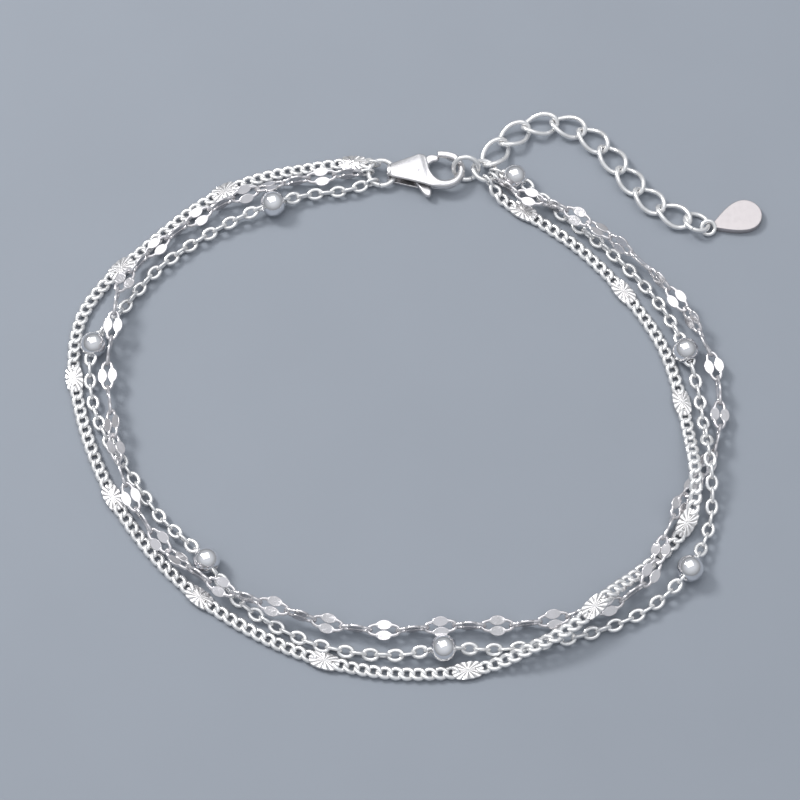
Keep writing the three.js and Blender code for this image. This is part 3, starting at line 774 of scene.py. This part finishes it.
ends = []
for line in (curb_line, cable_line, lip_line):
    for last, before in ((0, 1), (-1, -2)):
        outward = (line[last] - line[before]) / np.linalg.norm(line[last] - line[before]) * END_REACH
        link = grown(
            "end link", path_object("end path", [line[last], line[last] + 2 * outward], [math.radians(90)]),
            wire_chain_tree,
            {
                **PLAIN_LINK, **PLAIN_LAY, **END_LINK, "Steps": 20, "Sides": 8, "Count": 1, "Pitch": 1.0,
                "Start": END_REACH, "Material": wire_silver,
            },
        )
        ends.append(link.data)
        bpy.data.objects.remove(link)
end_links = joined("end_links", ends, wire_silver)
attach(end_links, "root")

# ---------------------------------------------------------------------------------------------
# Rings
# Round jump rings of stout wire, each cut, closed and left with a fine seam: the clasp's ring,
# the ring that the clasp hooks, the ring that gathers the strands, and the drop tag's ring.
# ---------------------------------------------------------------------------------------------

# Each ring is tilted about a level line through its middle, whose heading is from +X.
RINGS = {
    "clasp_jump_ring": dict(
        node="clasp_ring", at=(-4.65, 28.3, 1.1), radius=1.62, wire=0.62,
        tilt=11, heading=14, seam=250,
    ),
    "hooked_ring": dict(
        node="end_ring", at=(5.7, 28.65, 1.6), radius=1.53, wire=0.60,
        tilt=58, heading=-3, seam=300,
    ),
    "joining_ring": dict(
        node="join_ring", at=(8.04, 28.53, 1.28), radius=1.5, wire=0.56,
        tilt=16, heading=115, seam=60,
    ),
    "tag_jump_ring": dict(
        node="tag_ring", at=(33.75, 21.46, 0.86), radius=1.48, wire=0.57,
        tilt=22.4, heading=144.7, seam=100,
    ),
}
RING_STEPS = 64
RING_SIDES = 14
SEAM = 0.035 * MM

ring_silver = silver(
    "polished silver rings", metallic=0.72, Bright=WHITE_SILVER, Dull=SHADE_AND_BLOTCH_GREY, Shine=0.13, Haze=0.08,
    Grain=700.0, Scratch=0.15, Dents=0.2,
)


def wire_ring(radius, wire, seam=None):
    """A ring of round wire about the Z axis, whole, or with a fine seam at an angle."""
    form = bmesh.new()
    gap = 0 if seam is None else SEAM / radius
    rings = []
    for k in range(RING_STEPS + (seam is not None)):
        turn = math.radians(seam or 0) + gap / 2 + (2 * math.pi - gap) * k / RING_STEPS
        ring = []
        for i in range(RING_SIDES):
            about = 2 * math.pi * i / RING_SIDES
            reach = radius + wire / 2 * math.cos(about)
            ring.append(form.verts.new((reach * math.cos(turn), reach * math.sin(turn), wire / 2 * math.sin(about))))
        rings.append(ring)
    for one, other in zip(rings, rings[1:] + ([] if gap else rings[:1])):
        for i in range(RING_SIDES):
            j = (i + 1) % RING_SIDES
            form.faces.new((one[i], one[j], other[j], other[i])).smooth = True
    if gap:
        form.faces.new(rings[0])
        form.faces.new(rings[-1])
    return form


for name, ring in RINGS.items():
    form = wire_ring(ring["radius"] * MM, ring["wire"] * MM, ring["seam"])
    form.transform(
        Matrix.Translation(Vector(ring["at"]) * MM)
        @ Matrix.Rotation(math.radians(ring["heading"]), 4, "Z")
        @ Matrix.Rotation(math.radians(ring["tilt"]), 4, "X")
    )
    wire = joined(name, [mesh_of(name, form)], ring_silver)
    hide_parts(ring["node"])
    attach(wire, "root")

# ---------------------------------------------------------------------------------------------
# Extender
# Nine large twisted links of round wire, lightly rolled, from the joining ring to the drop tag.
# The clasp can hook any of them, which sets how wide the piece is worn.
# ---------------------------------------------------------------------------------------------

EXTENDER_ROUTE = [
    (8.4, 29.65), (9.6, 31.9), (12.0, 34.2), (15.1, 35.7), (18.6, 35.3), (21.7, 33.2), (26.85, 25.9), (29.4, 23.2),
    (32.6, 21.65),
]
EXTENDER_LINK = {
    "Link length": 4.92 * MM, "Link width": 3.35 * MM, "Wire": 0.60 * MM, "Twist": math.radians(38), "Flatness": 0.95,
}
EXTENDER_COUNT = 9
EXTENDER_PITCH = 3.66 * MM
EXTENDER_HEIGHT = 0.95

extender_line = laid_line([(x, y, EXTENDER_HEIGHT) for x, y in EXTENDER_ROUTE])
extender_points = link_centres(extender_line, EXTENDER_COUNT, EXTENDER_PITCH, EXTENDER_PITCH / 2)
extender_step = line_length(extender_points) / EXTENDER_COUNT
extender_links = grown(
    "extender_links",
    path_object("extender path", extender_points),
    wire_chain_tree,
    {
        **PLAIN_LINK, **PLAIN_LAY, **EXTENDER_LINK, "Steps": 48, "Sides": 12, "Count": EXTENDER_COUNT,
        "Pitch": extender_step, "Start": extender_step / 2, "Material": ring_silver,
    },
)
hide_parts(*[f"extender_link_{i + 1}" for i in range(EXTENDER_COUNT)])
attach(extender_links, "root")

# ---------------------------------------------------------------------------------------------
# Lobster clasp
# A strip of silver folded over at its narrow end, with the trigger pinned between its two leaves.
# The leaves come together in a stout hook, with a seam along its side.
# ---------------------------------------------------------------------------------------------

# Heights, in mm: the lower leaf's top, the upper leaf's two faces, and the undersides of hook and tip.
LOWER_LEAF = 0.45
CLASP_TOP = 2.05
POCKET_TOP = 1.6
HOOK_UNDER = 0.92
TIP_UNDER = 1.36
PIVOT = (-0.1, 28.1)

satin_clasp = silver(
    "burnished silver", metallic=0.95, Bright=(0.78, 0.76, 0.765, 1), Dull=SHADE_AND_BLOTCH_GREY, Shine=0.20, Haze=0.10,
    Grain=450.0, Scratch=0.2, Dents=0.3,
)


def bezier(a, b, c, d, steps=12):
    """Points along a cubic curve, without its first."""
    return [tuple(
        (1 - t) ** 3 * a[k] + 3 * (1 - t) ** 2 * t * b[k] + 3 * (1 - t) * t * t * c[k] + t**3 * d[k] for k in (0, 1)
    ) for t in np.linspace(0, 1, steps + 1)[1:]]


def filled_in(outline, step):
    """Adds points so that no straight run of the outline is longer than a step."""
    points = []
    for (x0, y0), (x1, y1) in zip(outline, outline[1:] + outline[:1]):
        count = max(1, math.ceil(math.hypot(x1 - x0, y1 - y0) / step))
        points += [(x0 + (x1 - x0) * k / count, y0 + (y1 - y0) * k / count) for k in range(count)]
    return points


def formed_plate(name, outline, top, bottom, edge, step=0.14, grooves=(), holes=()):
    """A plate from an outline in mm. top, bottom and edge give, by place, its two faces' heights and how
    far in its edge rounds over. Each groove is a share of the height down the edge, and its depth."""
    loops = [filled_in(loop, step) for loop in (outline, *holes)]
    rows = [np.array(loop) for loop in loops]
    starts = np.vstack(rows)
    ends = np.vstack([np.roll(row, -1, axis=0) for row in rows])

    def edge_distance(spots):
        along = ends - starts
        share = np.einsum("pij,ij->pi", spots[:, None] - starts, along) / (along**2).sum(axis=1)
        nearest = starts + np.clip(share, 0, 1)[:, :, None] * along
        return np.linalg.norm(spots[:, None] - nearest, axis=2).min(axis=1)

    low, high = starts.min(axis=0), starts.max(axis=0)
    grid = np.array([
        (x + (step / 2) * (j % 2), y)
        for j, y in enumerate(np.arange(low[1], high[1], step * 0.87)) for x in np.arange(low[0], high[0], step)
    ])
    grid = grid[edge_distance(grid) > step * 0.45]
    inset = []
    for row in rows:
        ahead, behind = np.roll(row, -1, axis=0), np.roll(row, 1, axis=0)
        along = ahead - behind
        normal = np.stack([-along[:, 1], along[:, 0]], axis=1) / np.linalg.norm(along, axis=1)[:, None]
        widths = np.array([edge(x, y) for x, y in row])
        for share in (0.12, 0.4, 0.75, 1.0):
            for sign in (-1, 1):
                spots = row + sign * share * widths[:, None] * normal
                inset.append(spots[edge_distance(spots) > share * widths * 0.97])
    clear = np.array([edge(x, y) * 1.15 for x, y in grid])
    spots = np.vstack([starts, *inset, grid[edge_distance(grid) > clear]])
    border, first = [], 0
    for row in rows:
        border += [(first + k, first + (k + 1) % len(row)) for k in range(len(row))]
        first += len(row)
    flat = delaunay_2d_cdt([Vector(p) for p in spots], border, [], 2 if holes else 1, 1e-5)
    places = np.array([tuple(p) for p in flat[0]])
    widths = np.array([edge(x, y) for x, y in places])
    near = np.clip(edge_distance(places) / widths, 0, 1)
    fall = widths * (1 - np.sqrt(np.clip(1 - (1 - near) ** 2, 0, 1)))
    form = bmesh.new()
    above = [form.verts.new((x * MM, y * MM, (top(x, y) - f) * MM)) for (x, y), f in zip(places, fall)]
    below = [form.verts.new((x * MM, y * MM, (bottom(x, y) + f) * MM)) for (x, y), f in zip(places, fall)]
    sides = {}
    for face in flat[2]:
        form.faces.new([above[i] for i in face]).smooth = True
        form.faces.new([below[i] for i in reversed(face)]).smooth = True
        for i, j in zip(face, list(face[1:]) + [face[0]]):
            sides[(i, j)] = sides.get((i, j), 0) + 1
    rim = [pair for pair in sides if (pair[1], pair[0]) not in sides]
    inward = {}
    for i, j in rim:
        push = Vector((-(places[j][1] - places[i][1]), places[j][0] - places[i][0])).normalized()
        for k in (i, j):
            inward[k] = inward.get(k, Vector((0, 0))) + push
    columns = {}
    for k, push in inward.items():
        push.normalize()
        column = [above[k]]
        for share, depth in grooves:
            height = above[k].co.z + (below[k].co.z - above[k].co.z) * share
            x, y = places[k][0] + push.x * depth, places[k][1] + push.y * depth
            column.append(form.verts.new((x * MM, y * MM, height)))
        columns[k] = column + [below[k]]
    for i, j in rim:
        for (a, b), (c, d) in zip(zip(columns[i], columns[j]), zip(columns[i][1:], columns[j][1:])):
            form.faces.new((b, a, c, d)).smooth = True
    loose = [v for v in form.verts if not v.link_faces]
    bmesh.ops.delete(form, geom=loose)
    return mesh_of(name, form)


clasp_outline = [(-4.0, 27.75), (-4.0, 28.85)]
clasp_outline += bezier((-4.0, 28.85), (-3.93, 29.08), (-3.67, 29.27), (-3.2, 29.4), 5)
clasp_outline += bezier((-0.4, 30.55), (0.2, 30.78), (0.62, 30.67), (0.85, 30.2), 7)
clasp_outline += [(1.1, 29.0)]
clasp_outline += bezier((1.1, 29.0), (1.3, 27.6), (2.2, 26.95), (3.1, 26.95))
clasp_outline += bezier((3.1, 26.95), (4.1, 26.95), (4.75, 27.8), (4.75, 28.5))
clasp_outline += bezier((4.75, 28.5), (4.75, 29.5), (4.1, 30.1), (2.3, 30.15))
clasp_outline += [(2.15, 30.95)]
clasp_outline += bezier((2.15, 30.95), (4.4, 31.1), (5.6, 30.0), (5.6, 28.5))
clasp_outline += bezier((5.6, 28.5), (5.6, 27.0), (4.5, 25.9), (3.0, 25.85))
clasp_outline += bezier((3.0, 25.85), (1.6, 25.85), (0.9, 26.35), (-0.6, 26.7), 8)
clasp_outline += [(-3.3, 27.4)]
lower_outline = [(-4.0, 27.75), (-4.0, 28.85)]
lower_outline += bezier((-4.0, 28.85), (-3.93, 29.08), (-3.67, 29.27), (-3.2, 29.4), 5)
lower_outline += bezier((-0.4, 30.55), (0.15, 30.72), (0.5, 30.57), (0.7, 30.1), 6)
lower_outline += [(0.9, 28.6), (0.2, 26.5), (-3.3, 27.4)]


def eased(value, start, end):
    share = min(1, max(0, (value - start) / (end - start)))
    return share * share * (3 - 2 * share)


def clasp_top(x, y):
    """The upper face: a pillowed leaf that drops away past a soft crease, then a hook that rises again."""
    crease = x - (0.1 + (30.49 - y) * 0.2)
    across = (y - 28.55 - 0.04 * x) / (0.62 + 0.33 * (x + 4))
    pillow = 0.14 * min(1, across * across) * (1 - eased(x, 0.6, 1.6))
    return CLASP_TOP - pillow - 0.13 * eased(crease, -0.3, 0.6) + 0.11 * eased(x, 1.0, 2.4)


def clasp_under(x, y):
    """The underside: level under the leaf, low under the hook, and raised again over the trigger's bar."""
    hook = POCKET_TOP + (HOOK_UNDER - POCKET_TOP) * eased(x, 1.32, 1.62)
    return hook + (TIP_UNDER - hook) * eased(y, 29.55, 29.8) * (1 - eased(x, 3.2, 3.7))


def clasp_edge(x, y):
    """How far in the edge rounds over: a little on the leaf, and most of the way across the hook."""
    return 0.18 + 0.26 * eased(x, 1.3, 2.6) * eased(31.1 - y, 0.6, 1.2)


parts = [
    formed_plate(
        "clasp", clasp_outline, clasp_top, clasp_under, clasp_edge, grooves=[(0.46, 0), (0.5, 0.05), (0.54, 0)],
    ),
    formed_plate("clasp", lower_outline, lambda x, y: LOWER_LEAF, lambda x, y: 0.0, lambda x, y: 0.1),
]

# The fold: the strip runs round from the upper leaf to the lower one.
fold = bmesh.new()
outer = [(-3.5 - 0.5 * math.sin(t), 1.025 + 1.025 * math.cos(t)) for t in np.linspace(0, math.pi, 15)]
inner = [(-3.5 - 0.2 * math.sin(t), 1.025 + 0.6 * math.cos(t)) for t in np.linspace(math.pi, 0, 15)]
ends = [[fold.verts.new((x * MM, y * MM, z * MM)) for x, z in outer + inner] for y in (27.75, 28.85)]
for i in range(30):
    j = (i + 1) % 30
    fold.faces.new((ends[0][i], ends[0][j], ends[1][j], ends[1][i])).smooth = True
for k in range(2):
    fold.faces.new(ends[k])
parts.append(mesh_of("clasp", fold))

# The spine behind the trigger's spring, and the pin, whose two heads are rounded over.
spine_outline = [(-2.5, 29.25), (-0.5, 30.1), (-0.5, 30.5), (-2.5, 29.6)]
parts.append(formed_plate("clasp", spine_outline, lambda x, y: 1.8, lambda x, y: 0.2, lambda x, y: 0.03))
pin_profile = [(-0.04, 0), (-0.02, 0.2), (0.06, 0.3), (0.1, 0.32), (1.95, 0.32), (1.99, 0.3), (2.07, 0.2), (2.09, 0)]
pin = turned([(x * MM, max(r, 0.001) * MM) for x, r in pin_profile], 20)
pin.transform(Matrix.Translation((PIVOT[0] * MM, PIVOT[1] * MM, 0)) @ Matrix.Rotation(-math.pi / 2, 4, "Y"))
parts.append(mesh_of("clasp", pin))
lobster_body = joined("lobster_body", parts, satin_clasp)
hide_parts("clasp_body")
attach(lobster_body, "root")

# ---------------------------------------------------------------------------------------------
# Trigger
# The clasp's lever, cast in one piece: a bar that closes the hook, and a tab for the nail.
# It turns on the pin against a small spring.
# ---------------------------------------------------------------------------------------------

trigger_outline = [(-0.75, 28.3), (0.15, 29.5)]
trigger_outline += bezier((0.15, 29.5), (0.5, 30.3), (0.8, 30.85), (1.3, 30.95), 6)
trigger_outline += bezier((1.3, 30.95), (2.1, 31.0), (2.5, 30.75), (2.48, 30.45), 6)
trigger_outline += bezier((2.48, 30.45), (2.46, 30.1), (2.1, 30.0), (1.6, 29.9), 5)
trigger_outline += [(1.2, 29.6), (0.75, 28.6), (0.75, 27.4)]
trigger_outline += bezier((0.75, 27.4), (0.85, 26.9), (1.25, 26.7), (1.38, 26.2), 5)
trigger_outline += bezier((1.38, 26.2), (1.5, 25.7), (1.55, 25.1), (1.2, 25.0), 7)
trigger_outline += bezier((1.2, 25.0), (0.9, 24.9), (0.55, 25.2), (0.3, 25.6), 6)
trigger_outline += [(-0.5, 26.9)]
lobster_trigger = joined(
    "lobster_trigger",
    [formed_plate("trigger", trigger_outline, lambda x, y: 1.22, lambda x, y: 0.62, lambda x, y: 0.24)],
    satin_clasp,
)
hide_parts("clasp_trigger")
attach(lobster_trigger, "trigger")

# ---------------------------------------------------------------------------------------------
# Drop tag
# A flat drop of silver with a satin face and a thin rounded edge.
# A small round eye of wire, soldered over its tip, hangs on the last ring.
# ---------------------------------------------------------------------------------------------

TAG_TIP = Vector((35.9, 21.1))
TAG_END = Vector((41.65, 23.32))
TAG_HALF = 2.1
TAG_THICK = 0.85
TAG_EYE = dict(
    radius=0.82 * MM, wire=0.5 * MM, tilt=math.radians(25.4), heading=math.radians(-15.1), height=0.69 * MM,
)

satin_silver = silver(
    "satin silver", metallic=0.9, Bright=(0.61, 0.565, 0.565, 1), Dull=(0.52, 0.48, 0.48, 1), Shine=0.36, Haze=0.08,
    Grain=1400.0, Scratch=0.25, Dents=0.08,
)
tag_length = (TAG_END - TAG_TIP).length
shoulder = tag_length - TAG_HALF
tag_outline = bezier(
    (0, -0.35), (tag_length * 0.3, -TAG_HALF * 0.75), (tag_length * 0.5, -TAG_HALF), (shoulder, -TAG_HALF), 14)
tag_outline += [
    (shoulder + TAG_HALF * math.sin(t), -TAG_HALF * math.cos(t)) for t in np.linspace(0, math.pi, 32)[1:]
]
tag_outline += bezier(
    (shoulder, TAG_HALF), (tag_length * 0.5, TAG_HALF), (tag_length * 0.3, TAG_HALF * 0.75), (0, 0.35), 14)
tag_plate = formed_plate(
    "tag", [(0, -0.35), *tag_outline], lambda x, y: TAG_THICK, lambda x, y: 0.0, lambda x, y: 0.1,
)
tag_eye = wire_ring(TAG_EYE["radius"], TAG_EYE["wire"])
tag_eye.transform(
    Matrix.Translation((-TAG_EYE["radius"], 0, TAG_EYE["height"]))
    @ Matrix.Rotation(TAG_EYE["heading"], 4, "Z")
    @ Matrix.Rotation(TAG_EYE["tilt"], 4, "X")
)
tag_place = (
    Matrix.Translation((TAG_TIP * MM).to_3d()) @ Matrix.Rotation(math.atan2(*reversed(TAG_END - TAG_TIP)), 4, "Z")
)
tag_eye.transform(tag_place)
tag_plate.transform(tag_place)
eye_wire = joined("tag_eye", [mesh_of("tag eye", tag_eye)], ring_silver)
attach(eye_wire, "root")
teardrop_tag = joined("teardrop_tag", [tag_plate], satin_silver)
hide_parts("drop_tag")
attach(teardrop_tag, "root")
